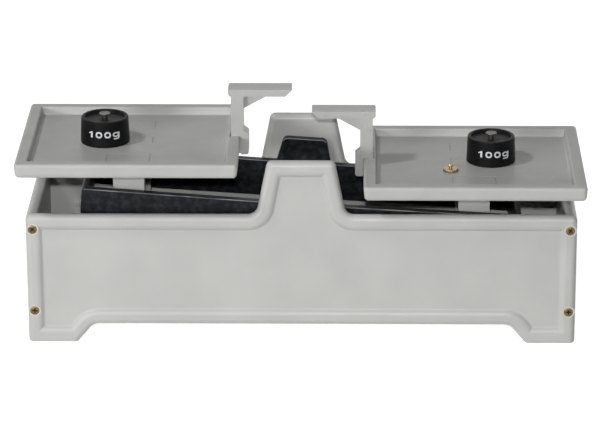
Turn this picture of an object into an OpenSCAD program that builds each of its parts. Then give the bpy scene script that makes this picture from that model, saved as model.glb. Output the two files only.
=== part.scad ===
// Table balance with two level trays on a rocking beam, in millimetres.
// +X is to the right, +Y to the back and +Z up. The origin is on the table
// under the middle of the case. The beam rests on its right-hand stop.

/* [Case] */
// Width of the case over its end panels
case_w = 361; // [344:1:390]
// Depth of the case from front face to rear face
case_d = 107; // [100:1:125]
// Height of the case at its low rim
rim_h = 89; // [82:1:95]
// Height of the case at the top of its turrets
turret_h = 126; // [118:1:138]
// Width of a turret at its top, before its corners are rounded
turret_top_w = 44; // [36:1:50]
// Width of a turret at the low rim, before its foot is rounded
turret_base_w = 58.6; // [52:0.2:64]
// Thickness of the case panels at the rim, which is fully rounded
panel_t = 8; // [7:0.25:9]
// Width of the raised rim around the sunk field
rim_w = 10.7; // [7:0.1:11]
// Depth of the sunk field of the front and rear panels
field_d = 2.5; // [1:0.25:3]
// Width of a foot on the table
foot_w = 33.4; // [24:0.2:36]
// Height of the arch between the feet
arch_h = 12.2; // [10:0.1:15]
// Sideways run of the slope between foot and arch
arch_run = 9.5; // [9:0.5:16]
// Thickness of the base plate
base_t = 3; // [2.5:0.1:4]
// Gap between the top of the arch and the base plate
base_gap = 3; // [1:0.1:3]
// Width of the posts that carry the base plate
post_w = 9; // [8:0.5:11]
// Height of the posts' top ends
post_top = 63; // [40:1:75]
// Depth of the posts, from the panel inwards
post_d = 9; // [8:0.5:12]

/* [Beam] */
// Distance from the middle knife edge to each end knife edge
arm_len = 113.5; // [108:0.5:118]
// Tilt of the beam on its stops, in degrees
beam_tilt = 3.8; // [2.5:0.1:4.2]
// Length of the beam beyond each end knife edge
beam_over = 31; // [27:0.5:33]
// Thickness of the beam's side members
beam_t = 6; // [4:0.25:7]
// Thickness of the beam's end walls
beam_end_t = 4; // [3:0.25:6]
// Height of the side members above the knife edges, in the middle
beam_above = 6; // [5:0.25:9]
// How much higher the side members stand at their ends
beam_rise = 1; // [0:0.25:2]
// Depth of the side members below the knife edges
beam_below = 19; // [12:0.5:22]
// Height of the hump above the side members
hump_h = 17; // [12:0.5:19]
// Width of the hump at its top
hump_top_w = 29; // [22:0.5:32]
// Width of the hump at its foot
hump_base_w = 37; // [33:0.5:42]

/* [Pivots] */
// Height of the middle knife edge above the table
pivot_z = 88; // [87:0.25:91]
// Distance from the knife edges down to the pins of the lower link
link_drop = 49; // [44:0.5:50]
// Width of the knives
knife_w = 5; // [4:0.25:6]
// Angle of the knives' edges, in degrees
knife_angle = 60; // [50:1:75]
// Height of the knives' straight flanks
knife_body_h = 3; // [2:0.25:4]
// Angle of the bearings' notches, in degrees
notch_angle = 120; // [100:1:130]
// Depth of the bearings' notches
notch_d = 3; // [2:0.25:3.5]
// Width of the case bearings
bearing_w = 14; // [12:0.5:16]
// Height of the case bearings below the knife edge
bearing_foot = 7; // [5:0.5:9]
// Wall left in front of a case bearing's pocket
pocket_skin = 1.3; // [1:0.1:1.8]
// Diameter of the pins of the lower link
pin_d = 4; // [3:0.25:5]
// Height of the lower link bar
link_h = 10; // [8:0.5:11]
// Thickness of the lower link bar
link_t = 6; // [4:0.5:8]
// Width of the ears that hold the pins
ear_w = 12; // [10:0.5:14]
// Thickness of the ears that hold the pins
ear_t = 4; // [3:0.25:5]

/* [Carriers] */
// Width of the carrier legs
leg_w = 20.4; // [19:0.2:24]
// Thickness of the carrier legs
leg_t = 3; // [2.5:0.1:4]
// Depth of the flanges along the carrier legs
leg_flange_d = 6; // [4:0.25:8]
// Thickness of the flanges along the carrier legs
leg_flange_t = 2; // [1.5:0.1:2.25]
// Thickness of the carrier's foot
foot_t = 3.5; // [3:0.1:4.5]
// Room between the lower link bar and the carrier's foot
foot_room = 1.5; // [1:0.1:2]
// Width of the rail under the tray
rail_w = 28.8; // [26:0.2:36]
// Thickness of the rail under the tray
rail_t = 4; // [3:0.25:5]
// Thickness of the steel bearing plates
plate_t = 2.5; // [2:0.1:3]
// Height of the bearing plates above the knife edge
plate_h = 8; // [6:0.5:10]

/* [Trays] */
// Width of a tray
tray_w = 145; // [130:1:152]
// Depth of a tray
tray_d = 128.5; // [112:0.5:140]
// Height of a tray's edge
tray_h = 9.9; // [8.8:0.1:12]
// Height of a tray's rim above the knife edge
tray_rise = 32.2; // [30:0.1:38]
// Depth of a tray's hollow below its rim
hollow_d = 5.3; // [4.5:0.1:6]
// Width of a tray's rim on top
tray_rim_w = 8.2; // [5:0.1:9]
// How far the inner wall of a tray slopes in
tray_slope = 1.5; // [1:0.1:3.5]
// Thickness of a tray's floor
tray_floor_t = 2.5; // [1.8:0.1:2.8]
// Radius of a tray's corners
tray_corner_r = 3; // [2.5:0.1:5]
// Width of the fine grooves around the clip tongues
groove_w = 0.6; // [0.4:0.1:1]
// Length of the clip tongues
tongue_l = 16; // [12:0.5:18]

/* [Pointers] */
// Height of a pointer above the tray's rim
pointer_h = 33.2; // [28:0.2:38]
// Depth of a pointer from front to back
pointer_d = 13; // [10:0.5:16]
// Thickness of a pointer's arm
pointer_arm_t = 5.4; // [4:0.1:6]
// Width of a pointer's post
pointer_post_w = 7.5; // [7:0.1:9]
// Gap between the two pointer tips
tip_gap = 13; // [6:0.2:20]
// How far a pointer's arm reaches back over its post
arm_over = 2.2; // [1:0.1:3]
// Thickness of a pointer's outer clip leg
clip_t = 4.9; // [3:0.1:5.5]
// Length of a pointer's outer clip leg below the tray's rim
clip_drop = 12; // [10:0.5:14]
// Thickness of the gusset under a pointer's arm
gusset_t = 3; // [2:0.25:5]

/* [Weights] */
// Diameter of a large weight at its foot
weight_d = 32.6; // [30:0.2:36]
// Diameter of a large weight at its top
weight_top_d = 31.2; // [28:0.2:34]
// Height of a large weight without its knob
weight_h = 17.5; // [15:0.25:20]
// Depth of the dish in a large weight's top
dish_d = 2; // [1:0.25:3]
// Diameter of a large weight's knob
knob_d = 7.3; // [6:0.1:9]
// Height of a large weight's knob above its rim
knob_rise = 2; // [1.5:0.1:4]
// Diameter of the small brass weight
brass_d = 10; // [8:0.25:13]
// Thickness of the small brass weight's disc
brass_t = 2; // [1:0.1:3]

/* [Fasteners] */
// Diameter of the screws' shanks
screw_d = 3; // [2.5:0.1:3.4]
// Diameter of the countersunk heads
screw_head_d = 6.1; // [5.6:0.1:6.6]
// Length of the case screws
screw_l = 22; // [18:1:26]
// Length of the base screws
base_screw_l = 14; // [10:1:18]
// Diameter of the flat ring around each case screw
screw_ring_d = 8.6; // [8:0.1:9]
// Distance from the case's side to its screws
screw_inset = 4.7; // [4:0.1:5.5]
// Distance from the low rim down to the upper screws
screw_top_inset = 9.8; // [8:0.2:14]
// Height of the lower screws above the table
screw_low_z = 22.3; // [18:0.1:30]

/* [Clearances] */
// Gap around pieces that are pressed or dropped in
fit_gap = 0.05; // [0.02:0.01:0.1]
// Height of a knife edge over the bottom of its notch
knife_gap = 0.03; // [0.01:0.01:0.08]
// Radial gap of the lower link on its middle pin
run_gap = 0.05; // [0.02:0.01:0.1]
// Radial gap of the lower link on the carriers' pins
loop_gap = 0.25; // [0.15:0.05:0.4]
// Gap between the beam and the inner faces of the case
beam_gap = 1; // [0.6:0.1:2]
// Gap between the carrier legs and the beam's side members
leg_gap = 1; // [0.6:0.1:2]
// Gap between a clip and the piece it grips
clip_gap = 0.15; // [0.05:0.05:0.3]
// Gap between a carrier's foot and its stop
stop_gap = 0.1; // [0.05:0.05:0.3]
// Gap around the base plate and at the ends of loose bars
edge_gap = 0.5; // [0.3:0.1:0.8]

/* [Hidden] */
$fn = 48;

// Colours
case_grey = [0.74, 0.75, 0.74];
tray_grey = [0.66, 0.66, 0.64];
beam_black = [0.10, 0.11, 0.12];
iron_black = [0.06, 0.06, 0.07];
steel = [0.72, 0.73, 0.75];
brass = [0.76, 0.60, 0.30];
rubber = [0.16, 0.16, 0.17];

// Rounding
corner_steps = 4;
edge_steps = 3;
least_r = 0.3;
edge_r = panel_t / 2;
case_corner_r = 4;
turret_r = 4;
turret_base_r = 7;
arch_r = 9;
foot_r = 4;
rim_fall = 4.2;
foot_sole_cut = 2;
ring_gap = 0.02;
through = 1;

// Levels and faces of the case
inner_y = case_d / 2 - panel_t;
field_t = panel_t - field_d;
slot_l = 3.8;
slot_w = 0.9;
slot_d = 1.1;
base_z = arch_h + base_gap;
base_top = base_z + base_t;
end_inner_x = case_w / 2 - panel_t;
screw_x = case_w / 2 - screw_inset;
screw_zs = [screw_low_z, rim_h - screw_top_inset];
pocket_d = field_t - pocket_skin;
pocket_side = bearing_w / 2 + fit_gap;

// Beam and the posts beside it
arm_x = arm_len * cos(beam_tilt);
arm_dz = arm_len * sin(beam_tilt);
beam_half = arm_len + beam_over;
beam_out_y = inner_y - beam_gap;
beam_in_y = beam_out_y - beam_t;
beam_corner_r = 2.5;
post_gap = 2.5;
post_x = beam_half + post_gap + post_w / 2;
post_hole_y = inner_y - post_d / 2;

// Knives and bearings
wedge_h = knife_w / 2 / tan(knife_angle / 2);
knife_h = wedge_h + knife_body_h;
notch_w = 2 * notch_d * tan(notch_angle / 2);
pocket_room = 2.5;
pocket_top = knife_h + pocket_room;
knife_skin = 1.5;
end_knife_y = beam_out_y - knife_skin;

// Lower link and its pins
link_z = pivot_z - link_drop;
ear_y = link_t / 2 + edge_gap;
ear_out_y = ear_y + ear_t;
ear_r = ear_w / 2;
pin_head_over = 1.5;
pin_head_d = pin_d + 2 * pin_head_over;
pin_head_t = 1.5;
pin_tail = 2.2;
groove_depth = 0.4;
groove_play = 0.3;
groove_y = ear_out_y + groove_play;
clip_groove_d = pin_d - 2 * groove_depth;
clip_ring_t = 0.7;

// Carriers, measured from their knife edge
leg_out_y = beam_in_y - leg_gap;
leg_in_y = leg_out_y - leg_t;
carrier_foot_top = -link_drop - link_h / 2 - foot_room;
carrier_foot_z = carrier_foot_top - foot_t;
tray_z = tray_rise - tray_h;
tray_floor_z = tray_rise - hollow_d;
rail_top = tray_floor_z - tray_floor_t;
rail_over = 4.5;
window_room = 4;
window_top = 3;
window_foot_room = 3.5;
rail_l = 2 * (leg_out_y + rail_over);
window_w = knife_w + 2 * window_room;
window_foot = knife_h + window_foot_room;
stop_h = pivot_z - arm_dz + carrier_foot_z - stop_gap - base_top;

// Places along the tray of the three clips under it
clip_ys = [-34, 3, 33.5];
hook_l = 10;
hook_t = 2;
hook_reach = 1.7;
hook_lip_t = 2.2;

// Places of the weights, measured from the middle of their tray
left_weight_at = [-17.5, 0.4];
right_weight_at = [-12.3, 6.2];
brass_weight_at = [15, -15.7];

// Outlines

// The direction from one point to another
function heading(a, b) = (b - a) / norm(b - a);

// A vector turned through an angle
function turned(v, a) = [v[0] * cos(a) - v[1] * sin(a), v[0] * sin(a) + v[1] * cos(a)];

// One corner of an outline [x, y, r], moved inwards by d and rounded
function rounded_corner(a, b, c, r, d) =
    let (
        u = heading(a, b),
        v = heading(b, c),
        turn = atan2(u[0] * v[1] - u[1] * v[0], u * v),
        side = turn > 0 ? 1 : -1,
        across = [-u[1], u[0]],
        onward = [-v[1], v[0]],
        q = b + d * (across + onward) / (1 + across * onward),
        arc_r = max(r - side * d, least_r),
        start = q - u * arc_r * tan(abs(turn) / 2),
        centre = start + across * arc_r * side
    )
    [for (k = [0:corner_steps]) centre + turned(start - centre, turn * k / corner_steps)];

// All points of an outline, which runs anticlockwise
function outline_points(corners, d = 0) =
    let (n = len(corners))
    [for (i = [0:n - 1])
        let (
            a = corners[(i + n - 1) % n],
            b = corners[i],
            c = corners[(i + 1) % n]
        )
        each rounded_corner([a[0], a[1]], [b[0], b[1]], [c[0], c[1]], b[2], d)];

// An outline and its mirror image, for a shape that is symmetric in X
function both_sides(half) =
    concat(half, [for (i = [len(half) - 1:-1:0]) [-half[i][0], half[i][1], half[i][2]]]);

function rectangle(w, d, r) =
    [[w / 2, -d / 2, r], [w / 2, d / 2, r], [-w / 2, d / 2, r], [-w / 2, -d / 2, r]];

// Feet and arch, case side, low rim and turret
function panel_outline(sole) = both_sides([
    [case_w / 2 - foot_w - arch_run, arch_h, arch_r],
    [case_w / 2 - foot_w + sole * arch_run / arch_h, -sole, foot_r],
    [case_w / 2, -sole, case_corner_r],
    [case_w / 2, rim_h, case_corner_r],
    [turret_base_w / 2, rim_h, turret_base_r],
    [turret_top_w / 2, turret_h, turret_r]
]);

// The end face of a panel in pieces without hollow corners: two feet, two rims and the turret
function panel_face() =
    let (
        m = corner_steps + 1,
        last = 12 * m - 1,
        right = concat(
            [for (i = [0:3 * m - 2]) [3 * m, i, i + 1]],
            [for (i = [3 * m:4 * m - 1]) [0, i, i + 1]]
        ),
        left = [for (f = right) [last - f[0], last - f[2], last - f[1]]],
        turret = [for (i = [4 * m:6 * m - 2]) [i, i + 1, last - i - 1, last - i]]
    )
    concat(right, left, turret, [[0, 4 * m, last - 4 * m, last]]);

// A solid whose cross sections are one outline, moved inwards; profile lists [inset, height]
// and face lists the pieces of its end faces, where the outline has hollow corners
module lofted(corners, profile, face = []) {
    rings = [for (p = profile) [for (q = outline_points(corners, p[0])) [q[0], q[1], p[1]]]];
    n = len(rings[0]);
    top = (len(rings) - 1) * n;
    walls = [
        for (k = [0:len(rings) - 2], i = [0:n - 1])
            let (a = k * n + i, b = k * n + (i + 1) % n)
            each [[a, a + n, b + n], [a, b + n, b]]
    ];
    base = len(face) > 0 ? face : [[for (i = [0:n - 1]) i]];
    lid = [for (f = base) [for (i = [len(f) - 1:-1:0]) top + f[i]]];
    polyhedron([for (ring = rings) each ring], concat(base, walls, lid));
}

// A fully rounded edge over a thickness of 2 r
function round_edge(r) =
    [for (k = [0:2 * edge_steps]) let (a = 90 * k / edge_steps) [r * (1 - sin(a)), r * (1 - cos(a))]];

// Round things

// A cylinder along Y, from y0 to y1
module rod(r, y0, y1) {
    translate([0, y0, 0])
        rotate([-90, 0, 0])
            cylinder(r = r, h = y1 - y0);
}

// A shape in the XZ plane, made solid from y0 to y1
module slab(y0, y1) {
    translate([0, y1, 0])
        rotate([90, 0, 0])
            linear_extrude(y1 - y0)
                children();
}

module mirror_copy(axis) {
    children();
    mirror(axis)
        children();
}

// Places

module at_beam() {
    translate([0, 0, pivot_z])
        rotate([0, beam_tilt, 0])
            children();
}

module at_link() {
    translate([0, 0, link_z])
        rotate([0, beam_tilt, 0])
            children();
}

// A carrier's own place: its X axis points to the middle of the balance
module at_left() {
    translate([-arm_x, 0, pivot_z + arm_dz])
        children();
}

module at_right() {
    translate([arm_x, 0, pivot_z - arm_dz])
        mirror([1, 0, 0])
            children();
}

// Screws

// A countersunk screw with its head's top at z = 0 and its shank below
module countersunk_screw(length) {
    head_h = (screw_head_d - screw_d) / 2;
    difference() {
        union() {
            translate([0, 0, -head_h])
                cylinder(d1 = screw_d, d2 = screw_head_d, h = head_h);
            translate([0, 0, -length])
                cylinder(d = screw_d, h = length - head_h + ring_gap);
        }
        for (a = [0, 90])
            rotate(a + 45)
                translate([0, 0, -slot_d / 2])
                    cube([slot_l, slot_w, slot_d + ring_gap], center = true);
    }
}

// The hole for such a screw, down to the given depth
module screw_hole(depth) {
    head_h = (screw_head_d - screw_d) / 2;
    grow = 2 * fit_gap;
    translate([0, 0, -head_h - fit_gap])
        cylinder(d1 = screw_d + grow, d2 = screw_head_d + grow, h = head_h + fit_gap);
    translate([0, 0, -ring_gap])
        cylinder(d = screw_head_d + grow, h = through);
    translate([0, 0, -depth])
        cylinder(d = screw_d + grow, h = depth - head_h);
}

// Children at the four screws of the front panel, with +Z out of its face
module at_case_screws() {
    for (side = [-1, 1], z = screw_zs)
        translate([side * screw_x, -case_d / 2, z])
            rotate([90, 0, 0])
                children();
}

// Children at the four screws of the base plate, with +Z down out of its face
module at_base_screws() {
    for (x = [-post_x, post_x], y = [-post_hole_y, post_hole_y])
        translate([x, y, base_z])
            rotate([180, 0, 0])
                children();
}

// Children at the two screws of the link bracket
module at_bracket_screws() {
    for (x = [-bracket_screw_x, bracket_screw_x])
        translate([x, 0, base_top + bracket_t])
            children();
}

// Case

// The front panel; the rear panel is its mirror image
module case_panel() {
    difference() {
        union() {
            difference() {
                translate([0, -inner_y, 0])
                    rotate([90, 0, 0])
                        lofted(panel_outline(foot_sole_cut), round_edge(edge_r), panel_face());
                translate([0, -inner_y, 0])
                    rotate([90, 0, 0])
                        sunk_field();
                translate([-case_w, -case_d, -2 * arch_h])
                    cube([2 * case_w, 2 * case_d, 2 * arch_h]);
            }
            at_case_screws()
                translate([0, 0, -field_t])
                    cylinder(d = screw_ring_d, h = field_t);
            post_pair();
        }
        at_case_screws()
            screw_hole(panel_t + through);
        bearing_pocket();
    }
}

// The tool that sinks the field, with a rounded step along the rim
module sunk_field() {
    step = [for (k = [0:edge_steps])
        let (a = 90 * k / edge_steps)
        [rim_w - rim_fall * (1 - cos(a)), field_t + field_d * sin(a)]];
    lofted(panel_outline(0), concat(step, [[rim_w - rim_fall, panel_t + through]]), panel_face());
}

// Two posts on the inner face, with pilot holes from below
module post_pair() {
    for (x = [-post_x, post_x])
        difference() {
            translate([x - post_w / 2, -inner_y - fit_gap, base_top])
                cube([post_w, post_d + fit_gap, post_top - base_top]);
            translate([x, -post_hole_y, base_top - through])
                cylinder(d = screw_d + 2 * fit_gap, h = base_screw_l - base_t + 2 * through);
        }
}

// The pocket in the turret that holds the case bearing and lets the knife in
module bearing_pocket() {
    translate([-pocket_side, -inner_y - pocket_d, pivot_z - bearing_foot - fit_gap])
        cube([2 * pocket_side, pocket_d + through, bearing_foot + pocket_top + fit_gap]);
}

module front_panel() {
    color(case_grey)
        case_panel();
}

module rear_panel() {
    color(case_grey)
        mirror([0, 1, 0])
            case_panel();
}

// An end panel between the front and the rear, with a round top and its own arch
module end_panel() {
    foot_l = foot_w / 2;
    arch_l = 2 * (inner_y - foot_l);
    color(case_grey)
        difference() {
            slab(-inner_y, inner_y)
                union() {
                    translate([end_inner_x, 0])
                        square([panel_t, rim_h - edge_r]);
                    translate([end_inner_x + edge_r, rim_h - edge_r])
                        circle(edge_r);
                }
            translate([end_inner_x - through, -arch_l / 2, -through])
                cube([panel_t + 2 * through, arch_l, arch_h + through]);
            mirror_copy([0, 1, 0])
                for (z = screw_zs)
                    translate([screw_x, 0, z])
                        rod(screw_d / 2 + fit_gap, -inner_y - through, -inner_y + screw_l - panel_t + through);
        }
}

module right_end_panel() {
    end_panel();
}

module left_end_panel() {
    mirror([1, 0, 0])
        end_panel();
}

module base_plate() {
    w = 2 * (end_inner_x - edge_gap);
    d = 2 * (inner_y - edge_gap);
    color(case_grey)
        difference() {
            translate([-w / 2, -d / 2, base_z])
                cube([w, d, base_t]);
            at_base_screws()
                screw_hole(base_t + through);
            at_bracket_screws()
                translate([0, 0, -bracket_t - base_t - through])
                    cylinder(d = screw_d + 2 * fit_gap, h = base_t + 2 * through);
        }
}

module case_screws_front() {
    color(brass)
        at_case_screws()
            countersunk_screw(screw_l);
}

module case_screws_rear() {
    color(brass)
        mirror([0, 1, 0])
            at_case_screws()
                countersunk_screw(screw_l);
}

module base_screws() {
    color(steel)
        at_base_screws()
            countersunk_screw(base_screw_l);
}

// A V block, with its notch under the middle knife edge
module case_bearing() {
    y0 = -inner_y - pocket_d + fit_gap;
    color(steel)
        translate([0, 0, pivot_z])
            slab(y0, -inner_y - fit_gap)
                polygon([
                    [-bearing_w / 2, -bearing_foot],
                    [bearing_w / 2, -bearing_foot],
                    [bearing_w / 2, notch_d - knife_gap],
                    [notch_w / 2, notch_d - knife_gap],
                    [0, -knife_gap],
                    [-notch_w / 2, notch_d - knife_gap],
                    [-bearing_w / 2, notch_d - knife_gap]
                ]);
}

module front_bearing() {
    case_bearing();
}

module rear_bearing() {
    mirror([0, 1, 0])
        case_bearing();
}

// Lower link and its pins

bracket_t = 2.5;
bracket_room = 6;
bracket_edge = 5;
pan_head_h = 1.8;
bracket_screw_x = ear_r + bracket_room;
bracket_half = bracket_screw_x + bracket_edge;

// Two ears around the lower pin, standing on the given level
module ears(foot_level) {
    mirror_copy([0, 1, 0])
        difference() {
            union() {
                rod(ear_r, ear_y, ear_out_y);
                translate([-ear_r, ear_y, foot_level])
                    cube([ear_w, ear_t, -foot_level]);
            }
            rod(pin_d / 2 + fit_gap, ear_y - through, ear_out_y + through);
        }
}

module link_bracket() {
    color(steel)
        union() {
            translate([0, 0, link_z])
                ears(base_top + bracket_t - link_z - ring_gap);
            difference() {
                translate([-bracket_half, -ear_out_y, base_top])
                    cube([2 * bracket_half, 2 * ear_out_y, bracket_t]);
                at_bracket_screws()
                    translate([0, 0, -bracket_t - through])
                        cylinder(d = screw_d + 2 * fit_gap, h = bracket_t + 2 * through);
            }
        }
}

module bracket_screws() {
    color(steel)
        at_bracket_screws()
            difference() {
                union() {
                    cylinder(d = screw_head_d, h = pan_head_h);
                    translate([0, 0, -bracket_t - base_t])
                        cylinder(d = screw_d, h = bracket_t + base_t + ring_gap);
                }
                translate([0, 0, pan_head_h])
                    cube([screw_head_d + through, slot_w, 2 * slot_d], center = true);
            }
}

// A pin through the ears, with a head in front and a groove behind
module lower_pin() {
    color(steel)
        difference() {
            union() {
                rod(pin_d / 2, -ear_out_y - ring_gap, ear_out_y + pin_tail);
                rod(pin_head_d / 2, -ear_out_y - pin_head_t, -ear_out_y);
            }
            difference() {
                rod(pin_d, groove_y, groove_y + clip_ring_t + 2 * ring_gap);
                rod(clip_groove_d / 2, groove_y - through, groove_y + clip_ring_t + through);
            }
        }
}

// The open ring in the pin's groove
module pin_clip() {
    y = groove_y + ring_gap;
    color(steel)
        difference() {
            rod(pin_head_d / 2, y, y + clip_ring_t);
            rod(clip_groove_d / 2 + fit_gap, y - through, y + clip_ring_t + through);
            translate([-clip_groove_d / 3, y - through, -pin_d])
                cube([2 * clip_groove_d / 3, clip_ring_t + 2 * through, pin_d]);
        }
}

module link_pin() {
    translate([0, 0, link_z])
        lower_pin();
}

module link_pin_clip() {
    translate([0, 0, link_z])
        pin_clip();
}

module lower_link() {
    color(beam_black)
        at_link()
            difference() {
                union() {
                    translate([-arm_len, -link_t / 2, -link_h / 2])
                        cube([2 * arm_len, link_t, link_h]);
                    for (x = [-arm_len, arm_len])
                        translate([x, 0, 0])
                            rod(link_h / 2, -link_t / 2, link_t / 2);
                }
                rod(pin_d / 2 + run_gap, -link_t, link_t);
                for (x = [-arm_len, arm_len])
                    translate([x, 0, 0])
                        rod(pin_d / 2 + loop_gap, -link_t, link_t);
            }
}

// A rubber pad under a carrier's foot
module stop_pad(x) {
    pad_l = 16;
    color(rubber)
        translate([x - pad_l / 2, -leg_in_y / 2, base_top])
            cube([pad_l, leg_in_y, stop_h]);
}

module left_stop() {
    stop_pad(-arm_x);
}

module right_stop() {
    stop_pad(arm_x);
}

// Beam

// The side of the beam: straight arms that rise a little, and a hump
beam_outline = both_sides([
    [beam_half, -beam_below, beam_corner_r],
    [beam_half, beam_above + beam_rise, beam_corner_r],
    [hump_base_w / 2, beam_above, 1.5],
    [hump_top_w / 2, beam_above + hump_h, 4]
]);

// A knife with its edge at z = 0, pointing down, grown by the given gap
function knife_profile(gap) =
    let (w = knife_w / 2 + gap, tip = gap / sin(knife_angle / 2))
    [[0, -tip], [w, w / tan(knife_angle / 2) - tip], [w, knife_h + gap],
     [-w, knife_h + gap], [-w, w / tan(knife_angle / 2) - tip]];

// The end knives are moulded in and end inside the side members
module beam_frame() {
    inner_x = beam_half - beam_end_t;
    color(beam_black)
        at_beam()
            difference() {
                intersection() {
                    slab(-beam_out_y, beam_out_y)
                        polygon(outline_points(beam_outline));
                    translate([0, 0, -case_w / 2])
                        linear_extrude(case_w)
                            polygon(outline_points(rectangle(2 * beam_half, 2 * beam_out_y, beam_corner_r)));
                }
                translate([-inner_x, -beam_in_y, -case_w / 2])
                    cube([2 * inner_x, 2 * beam_in_y, case_w]);
                slab(-case_d, case_d)
                    polygon(knife_profile(fit_gap));
                for (x = [-arm_len, arm_len])
                    translate([x, 0, 0])
                        mirror([0, 0, 1])
                            slab(-end_knife_y - fit_gap, end_knife_y + fit_gap)
                                polygon(knife_profile(fit_gap));
            }
}

// A knife of the given half length
module knife(half_l) {
    color(steel)
        slab(-half_l, half_l)
            polygon(knife_profile(0));
}

module main_knife() {
    at_beam()
        knife(inner_y + pocket_d - edge_gap);
}

module left_knife() {
    at_beam()
        translate([-arm_len, 0, 0])
            mirror([0, 0, 1])
                knife(end_knife_y);
}

module right_knife() {
    at_beam()
        translate([arm_len, 0, 0])
            mirror([0, 0, 1])
                knife(end_knife_y);
}

// Carriers, drawn about their knife edge

// One leg: a web with flanges and a window for the knife
module carrier_leg() {
    difference() {
        union() {
            translate([-leg_w / 2, -leg_out_y, carrier_foot_z])
                cube([leg_w, leg_t, rail_top - rail_t - carrier_foot_z]);
            for (x = [-leg_w / 2, leg_w / 2 - leg_flange_t])
                translate([x, -leg_in_y, carrier_foot_z])
                    cube([leg_flange_t, leg_flange_d, rail_top - rail_t - carrier_foot_z]);
        }
        translate([-window_w / 2, -leg_out_y - through, -window_foot])
            cube([window_w, leg_t + 2 * through, window_foot + window_top]);
    }
}

module carrier() {
    color(case_grey)
        union() {
            mirror_copy([0, 1, 0])
                carrier_leg();
            translate([-rail_w / 2, -rail_l / 2, rail_top - rail_t])
                cube([rail_w, rail_l, rail_t]);
            translate([-leg_w / 2, -leg_in_y, carrier_foot_z])
                cube([leg_w, 2 * leg_in_y, foot_t]);
            translate([0, 0, -link_drop])
                ears(link_drop + carrier_foot_top - ring_gap);
        }
}

// Two plates with a notch from below, behind the windows
module carrier_bearings() {
    plate_w = leg_w - 2 * leg_flange_t - 2 * clip_gap;
    color(steel)
        mirror_copy([0, 1, 0])
            slab(-leg_in_y, -leg_in_y + plate_t)
                polygon([
                    [-plate_w / 2, plate_h],
                    [-plate_w / 2, knife_gap - notch_d],
                    [-notch_w / 2, knife_gap - notch_d],
                    [0, knife_gap],
                    [notch_w / 2, knife_gap - notch_d],
                    [plate_w / 2, knife_gap - notch_d],
                    [plate_w / 2, plate_h]
                ]);
}

module carrier_pin() {
    translate([0, 0, -link_drop])
        lower_pin();
}

module carrier_pin_clip() {
    translate([0, 0, -link_drop])
        pin_clip();
}

module left_carrier() {
    at_left()
        carrier();
}

module left_carrier_bearings() {
    at_left()
        carrier_bearings();
}

module left_lower_pin() {
    at_left()
        carrier_pin();
}

module left_pin_clip() {
    at_left()
        carrier_pin_clip();
}

module right_carrier() {
    at_right()
        carrier();
}

module right_carrier_bearings() {
    at_right()
        carrier_bearings();
}

module right_lower_pin() {
    at_right()
        carrier_pin();
}

module right_pin_clip() {
    at_right()
        carrier_pin_clip();
}

// Trays

tray_top_r = 1.2;
tray_edge_r = 2;
tray_outline = rectangle(tray_w, tray_d, tray_corner_r);
under_wall = 3.5;

// The outside: a round lower edge, upright walls and a softened upper edge
tray_shell = concat(
    [for (k = [0:edge_steps])
        let (a = 90 * k / edge_steps)
        [tray_corner_r * (1 - sin(a)), tray_corner_r * (1 - cos(a))]],
    [for (a = [0, 45, 90]) [tray_edge_r * (1 - cos(a)), tray_h - tray_edge_r * (1 - sin(a))]]
);

// The hollow: a sloping wall and a softened edge
tray_hollow = [
    [tray_rim_w + tray_slope, tray_h - hollow_d],
    [tray_rim_w, tray_h - tray_top_r],
    [tray_rim_w - tray_top_r * 0.3, tray_h - tray_top_r * 0.3],
    [tray_rim_w - tray_top_r, tray_h],
    [tray_rim_w - tray_top_r, tray_h + through]
];

// The groove around three sides of a clip tongue, open to the front
module tongue_groove() {
    groove_d = 0.5;
    translate([-rail_w / 2, -tongue_l / 2, -groove_d])
        difference() {
            cube([rail_w, tongue_l, groove_d + through]);
            translate([groove_w, -through, -through])
                cube([rail_w - 2 * groove_w, tongue_l - groove_w + through, 3 * through]);
        }
}

// The slot in the inner rim for a pointer's hook, with room for the hook to bend
module pointer_slot() {
    slot_half = pointer_d / 2 + clip_gap;
    x = tray_w / 2 - tray_rim_w + post_inset - slot_room;
    translate([x, -slot_half, rail_top - through])
        cube([slot_room + hook_wall + clip_gap, 2 * slot_half, tray_rise - rail_top + 2 * through]);
}

// The hooks that grip the rail from both sides
module tray_hooks(y) {
    hook_x = rail_w / 2 + clip_gap;
    hook_h = rail_t + clip_gap + hook_lip_t;
    mirror_copy([1, 0, 0])
        translate([0, y - hook_l / 2, rail_top - hook_h]) {
            translate([hook_x, 0, 0])
                cube([hook_t, hook_l, hook_h + ring_gap]);
            translate([hook_x - hook_reach, 0, 0])
                cube([hook_reach + hook_t, hook_l, hook_lip_t]);
        }
}

module tray() {
    color(tray_grey)
        union() {
            difference() {
                translate([0, 0, tray_z])
                    lofted(tray_outline, tray_shell);
                translate([0, 0, tray_z])
                    lofted(tray_outline, tray_hollow);
                translate([0, 0, tray_z - through])
                    lofted(tray_outline, [[under_wall, 0], [under_wall, rail_top - tray_z + through]]);
                for (y = clip_ys)
                    translate([0, y, tray_floor_z])
                        tongue_groove();
                pointer_slot();
            }
            for (y = clip_ys)
                tray_hooks(y);
        }
}

module left_tray() {
    at_left()
        tray();
}

module right_tray() {
    at_right()
        tray();
}

// Pointers, which stand on the tray's inner rim between a hook through it and a leg around it

clip_room = 0.3;
post_inset = 2.4;
slot_room = 1.3;
hook_wall = 1.3;
hook_barb = 0.6;
hook_drop = 10.5;
barb = 0.7;
barb_over = 1.7;
shoulder_z = 5;
shoulder_h = 2.6;
tip_bevel = 4.4;
tip_t = 1;
gusset_l = 17.3;
gusset_h = 9.7;

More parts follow.
